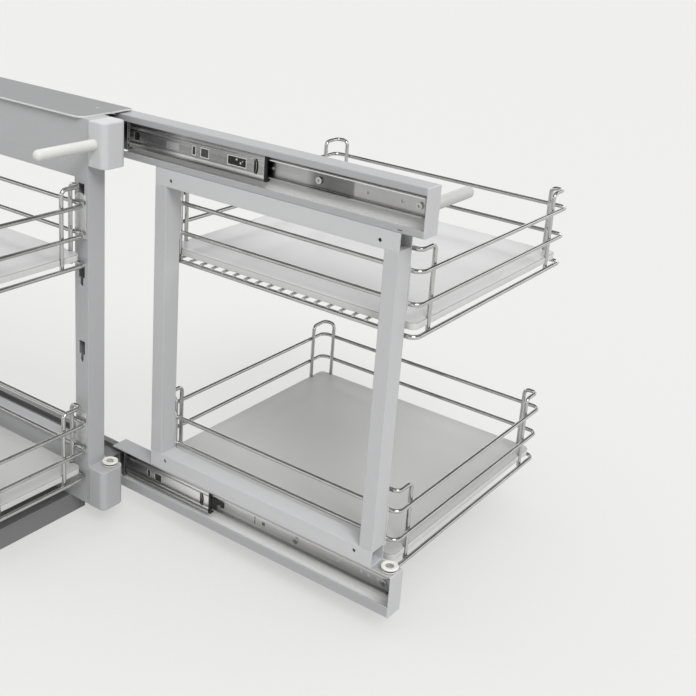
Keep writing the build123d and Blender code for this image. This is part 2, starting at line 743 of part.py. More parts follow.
with BuildPart() as bottom_end_buffer:
    end_buffer(bottom_middle_x, bottom_slide_z)
bottom_end_buffer.part.label = "bottom_end_buffer"
export_step(bottom_end_buffer.part, "parts/bottom_end_buffer.step")

with BuildPart() as top_latch:
    lever_x = top_middle_x - latch_window[0]
    box(lever_x - lever_length / 2, lever_x + lever_length / 2, middle_back, middle_back + tongue_t,
        top_slide_z - lever_h / 2, top_slide_z + lever_h / 2)
    for place, length in lever_lugs:
        lug_x = lever_x + place
        box(lug_x - length / 2, lug_x + length / 2, middle_back - lever_lug, middle_back,
            top_slide_z - lever_lug_h / 2, top_slide_z + lever_lug_h / 2)
top_latch.part.label = "top_latch"
export_step(top_latch.part, "parts/top_latch.step")

with BuildPart() as bottom_latch:
    arm_x = bottom_middle_x + buffer_t
    arm_z = bottom_slide_z + arm_rise + arm_h / 2
    box(arm_x, arm_x + arm_length - finger_length, middle_back, middle_back + tongue_t,
        arm_z - arm_h, arm_z)
    box(arm_x + arm_length - finger_length, arm_x + arm_length, middle_back, middle_back + tongue_t,
        arm_z - finger_h, arm_z)
    box(arm_x + arm_length - finger_tip, arm_x + arm_length, middle_back, middle_back + tongue_t,
        arm_z - finger_h - finger_drop, arm_z - finger_h)
bottom_latch.part.label = "bottom_latch"
export_step(bottom_latch.part, "parts/bottom_latch.step")

# Ball cages and balls between the members
outer_web = (slide_front + web_t + cage_gap, middle_front - cage_gap)
inner_web = (middle_back + cage_gap, middle_back + cage_gap + cage_t)

with BuildPart() as top_outer_cage:
    ball_cage(top_outer_x, top_slide_z, outer_ball_z, outer_web[0], outer_web[1])
top_outer_cage.part.label = "top_outer_cage"
export_step(top_outer_cage.part, "parts/top_outer_cage.step")

with BuildPart() as top_outer_balls:
    ball_set(top_outer_x, top_slide_z, outer_ball_z)
top_outer_balls.part.label = "top_outer_balls"
export_step(top_outer_balls.part, "parts/top_outer_balls.step")

with BuildPart() as top_inner_cage:
    ball_cage(top_inner_x, top_slide_z, inner_ball_z, inner_web[0], inner_web[1])
top_inner_cage.part.label = "top_inner_cage"
export_step(top_inner_cage.part, "parts/top_inner_cage.step")

with BuildPart() as top_inner_balls:
    ball_set(top_inner_x, top_slide_z, inner_ball_z)
top_inner_balls.part.label = "top_inner_balls"
export_step(top_inner_balls.part, "parts/top_inner_balls.step")

with BuildPart() as bottom_outer_cage:
    ball_cage(bottom_outer_x, bottom_slide_z, outer_ball_z, outer_web[0], outer_web[1])
bottom_outer_cage.part.label = "bottom_outer_cage"
export_step(bottom_outer_cage.part, "parts/bottom_outer_cage.step")

with BuildPart() as bottom_outer_balls:
    ball_set(bottom_outer_x, bottom_slide_z, outer_ball_z)
bottom_outer_balls.part.label = "bottom_outer_balls"
export_step(bottom_outer_balls.part, "parts/bottom_outer_balls.step")

with BuildPart() as bottom_inner_cage:
    ball_cage(bottom_inner_x, bottom_slide_z, inner_ball_z, inner_web[0], inner_web[1])
bottom_inner_cage.part.label = "bottom_inner_cage"
export_step(bottom_inner_cage.part, "parts/bottom_inner_cage.step")

with BuildPart() as bottom_inner_balls:
    ball_set(bottom_inner_x, bottom_slide_z, inner_ball_z)
bottom_inner_balls.part.label = "bottom_inner_balls"
export_step(bottom_inner_balls.part, "parts/bottom_inner_balls.step")

# Shelf rails, their closed ends and the slide members screwed inside them
with BuildPart() as shelf_top_rail:
    shelf_rail(top_slide_z, rail_lip, rail_lip)
shelf_top_rail.part.label = "shelf_top_rail"
export_step(shelf_top_rail.part, "parts/shelf_top_rail.step")

with BuildPart() as shelf_bottom_rail:
    shelf_rail(bottom_slide_z, bottom_rail_lip, rail_t)
    with BuildSketch(Plane.XY.offset(frame_z0 - bolt_depth)):
        with Locations((shelf_roller_x, rail_mid_y)):
            Circle(bolt_d / 2)
    extrude(amount=bolt_depth, mode=Mode.SUBTRACT)
shelf_bottom_rail.part.label = "shelf_bottom_rail"
export_step(shelf_bottom_rail.part, "parts/shelf_bottom_rail.step")

with BuildPart() as rail_end_plates:
    for zc in (bottom_slide_z, top_slide_z):
        with BuildSketch(Plane.YZ.offset(rail_x1 - end_plate_t)):
            with Locations((rail_mid_y, zc)):
                RectangleRounded(rail_d, rail_h, rail_bend_r)
        extrude(amount=end_plate_t)
rail_end_plates.part.label = "rail_end_plates"
export_step(rail_end_plates.part, "parts/rail_end_plates.step")

with BuildPart() as top_shelf_member:
    shelf_member(top_slide_z)
top_shelf_member.part.label = "top_shelf_member"
export_step(top_shelf_member.part, "parts/top_shelf_member.step")

with BuildPart() as bottom_shelf_member:
    shelf_member(bottom_slide_z)
bottom_shelf_member.part.label = "bottom_shelf_member"
export_step(bottom_shelf_member.part, "parts/bottom_shelf_member.step")

with BuildPart() as shelf_member_screws:
    for zc in (bottom_slide_z, top_slide_z):
        for x in screw_xs:
            pan_head_screw(x, slide_back - shelf_web_t, zc, shelf_web_t + rail_t)
shelf_member_screws.part.label = "shelf_member_screws"
export_step(shelf_member_screws.part, "parts/shelf_member_screws.step")

# Shelf frame between the rails
with BuildPart() as frame_uprights:
    for side in (-1, 1):
        tube_along_z(frame_x + side * upright_x, rail_mid_y, tube_w, rail_d, tube_wall,
                     frame_z0 + beam_h, frame_z1 - beam_h)
frame_uprights.part.label = "frame_uprights"
export_step(frame_uprights.part, "parts/frame_uprights.step")

with BuildPart() as frame_beams:
    for z in (frame_z0 + beam_h / 2, frame_z1 - beam_h / 2):
        tube_along_x(rail_mid_y, z, rail_d, beam_h, tube_wall,
                     frame_x - frame_w / 2, frame_x + frame_w / 2)
    with BuildSketch(Plane.XZ.offset(-rail_y)):
        with Locations((frame_x, (frame_z0 + frame_z1) / 2)):
            with GridLocations(frame_w - 2 * frame_hole_inset,
                               frame_z1 - frame_z0 - 2 * frame_hole_drop, 2, 2):
                Circle(frame_hole_d / 2)
    extrude(amount=-tube_wall, mode=Mode.SUBTRACT)
frame_beams.part.label = "frame_beams"
export_step(frame_beams.part, "parts/frame_beams.step")

# Rod and roller on the shelf
with BuildPart() as shelf_rod:
    rod(shelf_member_x1, rail_back_y, rod_z, rod_length)
shelf_rod.part.label = "shelf_rod"
export_step(shelf_rod.part, "parts/shelf_rod.step")

with BuildPart() as shelf_roller_bolt:
    roller_bolt(shelf_roller_x, rail_mid_y, frame_z0)
shelf_roller_bolt.part.label = "shelf_roller_bolt"
export_step(shelf_roller_bolt.part, "parts/shelf_roller_bolt.step")

with BuildPart() as shelf_roller:
    roller_disc(shelf_roller_x, rail_mid_y, frame_z0)
shelf_roller.part.label = "shelf_roller"
export_step(shelf_roller.part, "parts/shelf_roller.step")

# Wire baskets: rails, corner loops, floor wires and a board, for the shelf and the fixed frame
shelf_box = (frame_x - shelf_basket_w / 2, frame_x + shelf_basket_w / 2,
             shelf_basket_y0, shelf_basket_y0 + shelf_basket_d)
front_box = (-front_basket_w / 2, front_basket_w / 2,
             front_basket_y1 - front_basket_d, front_basket_y1)

with BuildPart() as shelf_upper_rails:
    basket_rails(*shelf_box, basket_upper_z)
shelf_upper_rails.part.label = "shelf_upper_rails"
export_step(shelf_upper_rails.part, "parts/shelf_upper_rails.step")

with BuildPart() as shelf_upper_corners:
    basket_corners(*shelf_box, basket_upper_z)
shelf_upper_corners.part.label = "shelf_upper_corners"
export_step(shelf_upper_corners.part, "parts/shelf_upper_corners.step")

with BuildPart() as shelf_upper_floor:
    basket_floor(*shelf_box, basket_upper_z)
shelf_upper_floor.part.label = "shelf_upper_floor"
export_step(shelf_upper_floor.part, "parts/shelf_upper_floor.step")

with BuildPart() as shelf_upper_board:
    basket_board(*shelf_box, basket_upper_z)
shelf_upper_board.part.label = "shelf_upper_board"
export_step(shelf_upper_board.part, "parts/shelf_upper_board.step")

with BuildPart() as shelf_lower_rails:
    basket_rails(*shelf_box, basket_lower_z)
shelf_lower_rails.part.label = "shelf_lower_rails"
export_step(shelf_lower_rails.part, "parts/shelf_lower_rails.step")

with BuildPart() as shelf_lower_corners:
    basket_corners(*shelf_box, basket_lower_z)
shelf_lower_corners.part.label = "shelf_lower_corners"
export_step(shelf_lower_corners.part, "parts/shelf_lower_corners.step")

with BuildPart() as shelf_lower_floor:
    basket_floor(*shelf_box, basket_lower_z)
shelf_lower_floor.part.label = "shelf_lower_floor"
export_step(shelf_lower_floor.part, "parts/shelf_lower_floor.step")

with BuildPart() as shelf_lower_board:
    basket_board(*shelf_box, basket_lower_z)
shelf_lower_board.part.label = "shelf_lower_board"
export_step(shelf_lower_board.part, "parts/shelf_lower_board.step")

with BuildPart() as front_upper_rails:
    basket_rails(*front_box, basket_upper_z)
front_upper_rails.part.label = "front_upper_rails"
export_step(front_upper_rails.part, "parts/front_upper_rails.step")

with BuildPart() as front_upper_corners:
    basket_corners(*front_box, basket_upper_z)
front_upper_corners.part.label = "front_upper_corners"
export_step(front_upper_corners.part, "parts/front_upper_corners.step")

with BuildPart() as front_upper_floor:
    basket_floor(*front_box, basket_upper_z)
front_upper_floor.part.label = "front_upper_floor"
export_step(front_upper_floor.part, "parts/front_upper_floor.step")

with BuildPart() as front_upper_board:
    basket_board(*front_box, basket_upper_z)
front_upper_board.part.label = "front_upper_board"
export_step(front_upper_board.part, "parts/front_upper_board.step")

with BuildPart() as front_lower_rails:
    basket_rails(*front_box, basket_lower_z)
front_lower_rails.part.label = "front_lower_rails"
export_step(front_lower_rails.part, "parts/front_lower_rails.step")

with BuildPart() as front_lower_corners:
    basket_corners(*front_box, basket_lower_z)
front_lower_corners.part.label = "front_lower_corners"
export_step(front_lower_corners.part, "parts/front_lower_corners.step")

with BuildPart() as front_lower_floor:
    basket_floor(*front_box, basket_lower_z)
front_lower_floor.part.label = "front_lower_floor"
export_step(front_lower_floor.part, "parts/front_lower_floor.step")

with BuildPart() as front_lower_board:
    basket_board(*front_box, basket_lower_z)
front_lower_board.part.label = "front_lower_board"
export_step(front_lower_board.part, "parts/front_lower_board.step")

# Plates that hang the baskets on the posts and uprights
with BuildPart() as shelf_hook_plates:
    for side in (-1, 1):
        for z in (basket_upper_z, basket_lower_z):
            hook_plate(frame_x + side * upright_x, rail_back_y, z, None)
shelf_hook_plates.part.label = "shelf_hook_plates"
export_step(shelf_hook_plates.part, "parts/shelf_hook_plates.step")

with BuildPart() as front_hook_plates:
    for x in (-post_x, post_x):
        hook_plate(x, fixed_beam_front - hook_t, basket_upper_z, keyhole_tops[0])
        hook_plate(x, fixed_beam_front - hook_t, basket_lower_z, keyhole_tops[-1])
front_hook_plates.part.label = "front_hook_plates"
export_step(front_hook_plates.part, "parts/front_hook_plates.step")
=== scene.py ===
import bpy
import bmesh
import math
from mathutils import Matrix, Vector


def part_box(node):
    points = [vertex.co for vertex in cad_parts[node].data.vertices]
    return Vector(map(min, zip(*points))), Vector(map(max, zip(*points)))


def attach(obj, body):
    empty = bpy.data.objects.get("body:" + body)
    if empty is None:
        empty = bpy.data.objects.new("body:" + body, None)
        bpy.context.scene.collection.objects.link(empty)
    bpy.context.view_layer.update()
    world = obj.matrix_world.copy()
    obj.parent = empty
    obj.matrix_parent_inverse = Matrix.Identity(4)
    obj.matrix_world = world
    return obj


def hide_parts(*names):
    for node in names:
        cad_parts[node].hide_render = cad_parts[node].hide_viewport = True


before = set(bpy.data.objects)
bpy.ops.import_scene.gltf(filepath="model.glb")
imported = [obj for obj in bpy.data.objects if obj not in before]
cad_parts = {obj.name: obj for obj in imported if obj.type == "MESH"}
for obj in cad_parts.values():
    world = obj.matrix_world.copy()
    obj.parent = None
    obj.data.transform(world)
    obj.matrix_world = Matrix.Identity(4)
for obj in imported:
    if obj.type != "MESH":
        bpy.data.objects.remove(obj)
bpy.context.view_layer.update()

# Fixed frame: two box beams with moulded end blocks, two posts and two cross tubes, welded from
# steel tube and powder coated a silver grey. The coat is faintly pebbled, with a painted
# highlight along its folds, and painted shade makes the lower end blocks a darker grey than the
# upper ones.


class Socket:
    """A shader value that can be used in an expression."""

    def __init__(self, nodes, socket):
        self.nodes = nodes
        self.socket = socket

    def maths(self, operation, first, second=0.0, clamp=False):
        return self.nodes.node("ShaderNodeMath", {"operation": operation, "use_clamp": clamp},
                               {0: first, 1: second})[0]

    def __add__(self, other):
        return self.maths("ADD", self, other)

    def __radd__(self, other):
        return self.maths("ADD", other, self)

    def __sub__(self, other):
        return self.maths("SUBTRACT", self, other)

    def __rsub__(self, other):
        return self.maths("SUBTRACT", other, self)

    def __mul__(self, other):
        return self.maths("MULTIPLY", self, other)

    def __rmul__(self, other):
        return self.maths("MULTIPLY", other, self)

    def __truediv__(self, other):
        return self.maths("DIVIDE", self, other)

    def __rtruediv__(self, other):
        return self.maths("DIVIDE", other, self)

    def __abs__(self):
        return self.maths("ABSOLUTE", self)

    def clamped(self):
        return self.maths("ADD", self, 0.0, True)

    def past(self, limit, soft):
        """0 up to the limit, rising to 1 over the soft stretch after it."""
        return ((self - limit) / soft).clamped()

    def short_of(self, limit, soft):
        """0 from the limit on, and 1 from the soft stretch before it back."""
        return ((limit - self) / soft).clamped()


class Nodes:
    """A shader tree that is built up node by node."""

    low_colour, high_colour, mixed_colour = 6, 7, 2  # a Mix node's sockets for colours

    def __init__(self, tree):
        self.tree = tree

    def node(self, kind, settings=None, values=None, output=None):
        """Adds a node, sets it up, fills its sockets and gives its outputs, or the named one."""
        node = self.tree.nodes.new(kind)
        for key, value in (settings or {}).items():
            if key == "stops":
                elements = node.color_ramp.elements
                for n, (place, tone) in enumerate(value):
                    stop = elements[n] if n < 2 else elements.new(place)
                    stop.position = place
                    stop.color = (tone, tone, tone, 1)
            else:
                setattr(node, key, value)
        for key, value in (values or {}).items():
            if isinstance(value, Socket):
                self.tree.links.new(value.socket, node.inputs[key])
            else:
                node.inputs[key].default_value = value
        if output:
            return Socket(self, node.outputs[output])
        return [Socket(self, out) for out in node.outputs]

    def blend(self, factor, low, high):
        """A colour between two colours, each a socket or three numbers."""
        low, high = (tone if isinstance(tone, Socket) else (*tone, 1) for tone in (low, high))
        return self.node("ShaderNodeMix", {"data_type": "RGBA"},
                         {0: factor, self.low_colour: low,
                          self.high_colour: high})[self.mixed_colour]


class Finish(Nodes):
    """A material with one Principled shader."""

    def __init__(self, name, **values):
        self.material = bpy.data.materials.new(name)
        self.material.use_nodes = True
        super().__init__(self.material.node_tree)
        self.shader = self.tree.nodes["Principled BSDF"]
        for key, value in values.items():
            self.shader.inputs[key.replace("_", " ")].default_value = value

    def place(self, x=1.0, y=1.0, z=1.0):
        """The point on the surface, scaled along each axis."""
        where = self.node("ShaderNodeTexCoord", output="Object")
        return self.node("ShaderNodeVectorMath", {"operation": "MULTIPLY"},
                         {0: where, 1: (x, y, z)}, "Vector")

    def coordinates(self):
        """The point's x, y and z in metres."""
        return self.node("ShaderNodeSeparateXYZ", None, {0: self.place()})

    def noise(self, scale, detail=3.0, rough=0.55, x=1.0, y=1.0, z=1.0):
        """Soft random patches from 0 to 1."""
        return self.node("ShaderNodeTexNoise", None,
                         {"Vector": self.place(x, y, z), "Scale": scale, "Detail": detail,
                          "Roughness": rough})[0]

    def patch(self, x, z, width, height, soft):
        """1 inside an oblong patch round x and z, seen from the front, fading over its rim."""
        across, _, up = self.coordinates()
        return (abs(across - x).short_of(width / 2, soft)
                * abs(up - z).short_of(height / 2, soft))

    def normal(self):
        """The direction that the surface faces."""
        return self.node("ShaderNodeNewGeometry", output="Normal")

    def rounded_normal(self, radius):
        """The same direction, as if the edges were rounded."""
        return self.node("ShaderNodeBevel", {"samples": 6}, {"Radius": radius})[0]

    def facing_up(self):
        """1 where the surface faces up, 0 where it stands upright, -1 where it faces down."""
        return self.node("ShaderNodeSeparateXYZ", None, {0: self.normal()}, "Z")

    def edges(self, radius):
        """1 near an edge of the solid, 0 on its flats."""
        same = self.node("ShaderNodeVectorMath", {"operation": "DOT_PRODUCT"},
                         {0: self.rounded_normal(radius), 1: self.normal()}, "Value")
        return self.node("ShaderNodeMapRange", None,
                         {"Value": same, "From Min": 1.0, "From Max": 0.8,
                          "To Min": 0.0, "To Max": 1.0})[0]

    def wire_up(self, **links):
        """Feeds sockets of the shader."""
        for key, value in links.items():
            self.tree.links.new(value.socket, self.shader.inputs[key.replace("_", " ")])

    def bump(self, height, strength, distance, radius=None):
        """Feeds the shader's normal with a fine relief, over rounded edges if a radius is given."""
        values = {"Strength": strength, "Distance": distance, "Height": height}
        if radius:
            values["Normal"] = self.rounded_normal(radius)
        self.wire_up(Normal=self.node("ShaderNodeBump", None, values)[0])


class PowderCoat(Finish):
    """Satin powder coat with a pebbled skin."""

    def __init__(self, name, tone, edge_radius=0.0012):
        super().__init__(name, Coat_Weight=0.1, Coat_Roughness=0.35)
        self.edge_radius = edge_radius
        self.drift = self.noise(7.0)
        self.shade = self.blend(self.drift * 0.6 + 0.1, tone, [value * 1.07 for value in tone])

    def tint(self, mask, tone):
        """Gives the coat another tone where the mask is 1."""
        self.shade = self.blend(mask, self.shade, tone)

    def paint_edge_highlight(self, pale):
        """Paints a paler highlight along the folds and edges."""
        self.tint(self.edges(self.edge_radius) * 0.6, pale)

    def cured(self):
        """Wires the coat up and gives its material."""
        pebble = self.noise(900.0, detail=2.0)
        self.wire_up(Base_Color=self.shade, Roughness=self.drift * 0.12 + 0.42)
        self.bump(pebble, strength=0.22, distance=0.00008, radius=self.edge_radius)
        return self.material


def powder_coat(name, tone, pale):
    """Plain powder coat, with nothing on it but a painted highlight along its edges."""
    coat = PowderCoat(name, tone)
    coat.paint_edge_highlight(pale)
    return coat.cured()


def dress(material, *nodes):
    """Gives CAD nodes this material."""
    for name in nodes:
        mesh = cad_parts[name].data
        mesh.materials.clear()
        mesh.materials.append(material)


dress(powder_coat("frame_grey_coat", (0.44, 0.442, 0.45), (0.64, 0.645, 0.65)),
      "fixed_top_beam", "fixed_bottom_beam", "fixed_posts", "fixed_cross_tubes")

block_radius, between_blocks = 0.002, 0.32
block_coat = PowderCoat("end_block_grey", (0.56, 0.562, 0.57), block_radius)
# Painted shade: the end blocks below this height get a darker grey than the upper ones.
painted_shade_low = block_coat.coordinates()[2].short_of(between_blocks, soft=0.02)
block_coat.tint(painted_shade_low, (0.43, 0.432, 0.44))
# Painted highlight along the blocks' edges.
block_coat.paint_edge_highlight((0.72, 0.722, 0.73))
dress(block_coat.cured(), "fixed_end_blocks")

# Top plate, floor beams and spacers: bent sheet and box tube, bolted above and below the fixed
# frame and powder coated a darker grey. The plate's cut edges are bright.

plate_radius = 0.001
plate_coat = PowderCoat("plate_dark_grey", (0.23, 0.232, 0.236), plate_radius)
cut_edges = abs(plate_coat.facing_up()).short_of(0.7, soft=0.3)
plate_coat.tint(cut_edges, (0.72, 0.72, 0.71))
# Painted highlight along the plate's folds and edges.
plate_coat.paint_edge_highlight((0.66, 0.66, 0.66))
dress(plate_coat.cured(), "top_plate")
dress(powder_coat("floor_beam_grey", (0.20, 0.20, 0.204), (0.34, 0.34, 0.34)),
      "base_beams", "slide_spacers")

# Telescopic slides: cold-rolled steel members, zinc plated and screwed to the frames. The strip
# is drawn lengthwise, so its tone varies in long dark and pale streaks. Painted reflection and
# shade follow each member from end to end and across its shoulders, and painted highlights ring
# the punched windows of the middle members.

top_slide, bottom_slide = 0.572, 0.064        # heights of the slides' middles
member_half = 0.0175                          # half the height of a middle member
shelf_start, shelf_end = 0.234, 0.714         # ends of the shelf members
line_middle, line_length = 0.474, 0.49        # of the lines that run the length of these
# Tones of the painted highlights and the painted shadow on the zinc.
highlight_tone, highlight_steel, in_shadow = (0.92, 0.92, 0.90), (0.95, 0.95, 0.93), (0.05, 0.05, 0.05)


class Plate(Finish):
    """Zinc plate on rolled strip."""

    def tone_at(self, place, stops):
        """The tone that a row of stops has at a place from 0 to 1."""
        ramp = self.node("ShaderNodeValToRGB", {"stops": stops}, {0: place}, "Color")
        return self.node("ShaderNodeSeparateColor", None, {0: ramp}, "Red")

    def along(self, start, end, light_and_shade_stops):
        """A tone that follows these stops from one end of the strip to the other."""
        stops = [((x - start) / (end - start), tone) for x, tone in light_and_shade_stops]
        return self.tone_at((self.coordinates()[0] - start) / (end - start), stops)

    def rolled(self, middle, heights):
        """A value that follows these stops across the strip, from its lower to its upper edge."""
        height = 2 * member_half
        stops = [(0.5 + z / height, value) for z, value in heights]
        return self.tone_at((self.coordinates()[2] - (middle - member_half)) / height, stops)

    def strip(self, tone, streak, roughness, patches=(), shoulders=None):
        """Finishes the plate: its tone, the streaks along it, patches and rolled shoulders."""
        broad = self.noise(14.0, x=0.10, y=8.0, z=8.0)
        fine = self.noise(60.0, detail=4.0, rough=0.6, x=0.05, y=8.0, z=8.0)
        grain = broad * 0.65 + fine * 0.35
        shade = tone * (grain * (2 * streak) + (1 - streak))
        colour = self.blend(shade.clamped(), (0.015, 0.015, 0.015), (0.97, 0.965, 0.95))
        for mask, patch_tone in patches:
            colour = self.blend(mask, colour, patch_tone)
        # Painted highlight along the strip's edges.
        self.wire_up(Base_Color=self.blend(self.edges(0.0014) * 0.8, colour, highlight_tone),
                     Roughness=broad * 0.16 + fine * 0.06 + roughness)
        edge_radius = 0.0005
        if shoulders:
            self.bump(grain * 0.02 + shoulders, strength=0.8, distance=0.0010, radius=edge_radius)
        else:
            self.bump(grain, strength=0.14, distance=0.00006, radius=edge_radius)
        return self.material


def arc_slot(plate, x, middle):
    """Painted shade on the inner side of the arc slot, widening its dark opening."""
    painted_slot_shade = plate.patch(x, middle, width=0.0052, height=0.0190, soft=0.0005)
    return painted_slot_shade * 0.95, (0.02, 0.02, 0.02)


def rim_highlights(plate, middle, windows):
    """Painted highlights round the rims of the punched windows, given by their middles and lengths.
    """
    highlight_rim, height = 0.0012, 0.0134
    return [(plate.patch(x, middle, length + 2 * highlight_rim, height, soft=0.0004) * 0.85, highlight_steel)
            for x, length in windows]


shoulder_rise = ((-0.0172, 0.2), (-0.0150, 0.9), (-0.0115, 1.0), (-0.0085, 0.1), (0.0085, 0.1),
                 (0.0115, 1.0), (0.0150, 0.9), (0.0172, 0.2))
# Painted light and shade across the middle members: dark and pale lines along the rolled shoulders.
shoulder_light_and_shade = ((-0.0172, 0.5), (-0.0140, 0.62), (-0.0115, 1.0), (-0.0092, 0.86),
                 (-0.0088, 0.22), (-0.0082, 0.55), (0.0080, 0.55), (0.0086, 0.9), (0.0092, 0.5),
                 (0.0120, 0.62), (0.0150, 0.30), (0.0172, 0.45))

plate = Plate("top_middle_zinc", Metallic=1.0)
# Painted reflection and shade along the top middle member, as stops from end to end.
light_and_shade_stops = ((0.236, 0.85), (0.262, 0.75), (0.275, 0.42), (0.305, 0.38), (0.34, 0.50),
         (0.365, 0.36), (0.41, 0.34), (0.45, 0.40), (0.478, 0.46))
windows = ((0.256, 0.010), (0.361, 0.005), (0.380, 0.013), (0.435, 0.030))
worn = plate.patch(0.323, 0.5705, width=0.026, height=0.013, soft=0.003)
lip = plate.patch(0.247, 0.584, width=0.030, height=0.012, soft=0.006)
painted_light_and_shade = plate.along(0.0, 0.48, light_and_shade_stops) * plate.rolled(top_slide, shoulder_light_and_shade) * 1.8
patches = ((worn, (0.70, 0.71, 0.70)), (lip * 0.7, (0.60, 0.60, 0.58)),
           arc_slot(plate, 0.4660, top_slide), *rim_highlights(plate, top_slide, windows))
dress(plate.strip(painted_light_and_shade, streak=0.55, roughness=0.16, patches=patches,
                  shoulders=plate.rolled(top_slide, shoulder_rise)), "top_middle_member")

plate = Plate("bottom_middle_zinc", Metallic=1.0)
# Painted reflection and shade along the bottom middle member, as stops from end to end.
light_and_shade_stops = ((0.20, 0.16), (0.236, 0.34), (0.28, 0.40), (0.31, 0.50), (0.335, 0.66), (0.38, 0.86),
         (0.405, 0.88))
windows = ((0.289, 0.005), (0.308, 0.013))
painted_light_and_shade = plate.along(0.0, 0.41, light_and_shade_stops) * plate.rolled(bottom_slide, shoulder_light_and_shade) * 1.9
patches = (arc_slot(plate, 0.3940, bottom_slide), *rim_highlights(plate, bottom_slide, windows))
dress(plate.strip(painted_light_and_shade, streak=0.35, roughness=0.14, patches=patches,
                  shoulders=plate.rolled(bottom_slide, shoulder_rise)), "bottom_middle_member")

plate = Plate("top_shelf_zinc", Metallic=1.0)
# Painted reflection along the top shelf member, with painted shade near black at its ends.
light_and_shade_stops = ((0.472, 0.03), (0.48, 0.24), (0.50, 0.42), (0.54, 0.46), (0.553, 0.20), (0.575, 0.15),
         (0.6105, 0.20), (0.613, 0.46), (0.66, 0.44), (0.7108, 0.48), (0.7116, 0.03))
worn = plate.patch(0.512, 0.569, width=0.055, height=0.010, soft=0.014)
glint = plate.patch(0.4827, 0.5712, width=0.006, height=0.006, soft=0.003)
# Painted highlight: a pale line along the shelf member's upper edge.
painted_edge_highlight = plate.patch(line_middle, 0.5835, line_length, height=0.0014, soft=0.0003)
# Painted shadow: a dark line along the shelf member, under the rail's lip.
painted_shadow_line = plate.patch(line_middle, 0.5614, line_length, height=0.0020, soft=0.0006)
patches = ((worn * 0.8, (0.66, 0.66, 0.63)), (glint, highlight_steel),
           (painted_edge_highlight * 0.8, (0.90, 0.90, 0.88)), (painted_shadow_line * 0.6, in_shadow))
dress(plate.strip(plate.along(shelf_start, shelf_end, light_and_shade_stops), streak=0.22, roughness=0.18,
                  patches=patches), "top_shelf_member")

plate = Plate("bottom_shelf_zinc", Metallic=0.7)
# Painted reflection along the bottom shelf member, with painted shade near black at its ends.
light_and_shade_stops = ((0.395, 0.04), (0.405, 0.95), (0.47, 0.95), (0.52, 0.88), (0.57, 0.80), (0.64, 0.72),
         (0.7108, 0.66), (0.7116, 0.03))
scuffs = plate.noise(320.0, rough=0.7, x=0.4)
worn = scuffs * plate.patch(0.60, 0.062, width=0.09, height=0.016, soft=0.02)
marks = [(plate.patch(x, bottom_slide, length, height, soft=0.0006) * 0.8, (tone, tone, tone))
         for x, length, height, tone in ((0.4865, 0.0022, 0.012, 0.05),
                                         (0.5020, 0.0060, 0.006, 0.10),
                                         (0.6680, 0.0040, 0.005, 0.92),
                                         (0.6940, 0.0050, 0.003, 0.90))]
# Painted shadow: a dark line along the shelf member.
painted_shadow_line = plate.patch(line_middle, 0.0534, line_length, height=0.0020, soft=0.0006)
patches = ((worn * 0.6, (0.80, 0.77, 0.72)), (painted_shadow_line * 0.7, in_shadow), *marks)
dress(plate.strip(plate.along(shelf_start, shelf_end, light_and_shade_stops), streak=0.2, roughness=0.2,
                  patches=patches), "bottom_shelf_member")

plate = Plate("fixed_member_zinc", Metallic=1.0)
# Painted reflection and shade along the fixed members.
light_and_shade_stops = ((0.0, 0.40), (0.20, 0.34), (0.24, 0.26))
dress(plate.strip(plate.along(0.0, 0.24, light_and_shade_stops), streak=0.3, roughness=0.2),
      "top_fixed_member", "bottom_fixed_member")

# Ball cages, balls and screws: pressed steel strip, hardened balls, and pan head and countersunk
# screws with a crossed recess. Grease dulls the cages, and the balls are polished.


def steel(name, dark, pale, roughness, highlight_rim=0.4):
    """Plated steel, mottled by handling, with a painted highlight along its edges."""
    metal = Finish(name, Metallic=1.0)
    edge_radius = 0.0004
    mottle = metal.noise(120.0, detail=4.0, rough=0.6)
    body = metal.blend(mottle, dark, pale)
    metal.wire_up(Base_Color=metal.blend(metal.edges(edge_radius) * highlight_rim, body, highlight_tone),
                  Roughness=mottle * 0.12 + roughness)
    metal.bump(mottle, strength=0.15, distance=0.00005, radius=edge_radius)
    return metal.material


dress(steel("cage_strip", (0.05, 0.05, 0.048), (0.15, 0.15, 0.14), roughness=0.3, highlight_rim=0.25),
      "top_outer_cage", "top_inner_cage", "bottom_outer_cage", "bottom_inner_cage")
dress(steel("bearing_ball", (0.66, 0.66, 0.67), (0.88, 0.88, 0.90), roughness=0.04, highlight_rim=0.0),
      "top_outer_balls", "top_inner_balls", "bottom_outer_balls", "bottom_inner_balls")
dress(steel("slide_screw", (0.34, 0.34, 0.33), (0.74, 0.74, 0.72), roughness=0.16, highlight_rim=0.2),
      "fixed_member_screws", "shelf_member_screws")
dress(steel("roller_screw", (0.56, 0.56, 0.54), (0.88, 0.88, 0.86), roughness=0.28),
      "fixed_roller_bolt", "shelf_roller_bolt")

# End buffers and latches: black moulded nylon, clipped to the middle members. A pressed steel
# spring shows as bright flecks in the latch windows.


def moulded(name, tone, pale, roughness, edge_highlight=0.5, flecks=()):
    """Moulded plastic with a fine grain and a painted highlight along its edges, and bright flecks
    of a steel spring.
    """
    plastic = Finish(name, Specular_IOR_Level=0.4)
    grain = plastic.noise(1400.0, detail=2.0)
    drift = plastic.noise(25.0)
    body = plastic.blend(drift, tone, [value * 1.2 for value in tone])
    for x, z, width, height in flecks:
        fleck = plastic.patch(x, z, width, height, soft=0.0006)
        body = plastic.blend(fleck, body, (0.75, 0.75, 0.73))
    plastic.wire_up(Base_Color=plastic.blend(plastic.edges(0.0006) * edge_highlight, body, pale),
                    Roughness=roughness + drift * 0.1)
    plastic.bump(grain, strength=0.2, distance=0.00005, radius=0.0005)
    return plastic.material


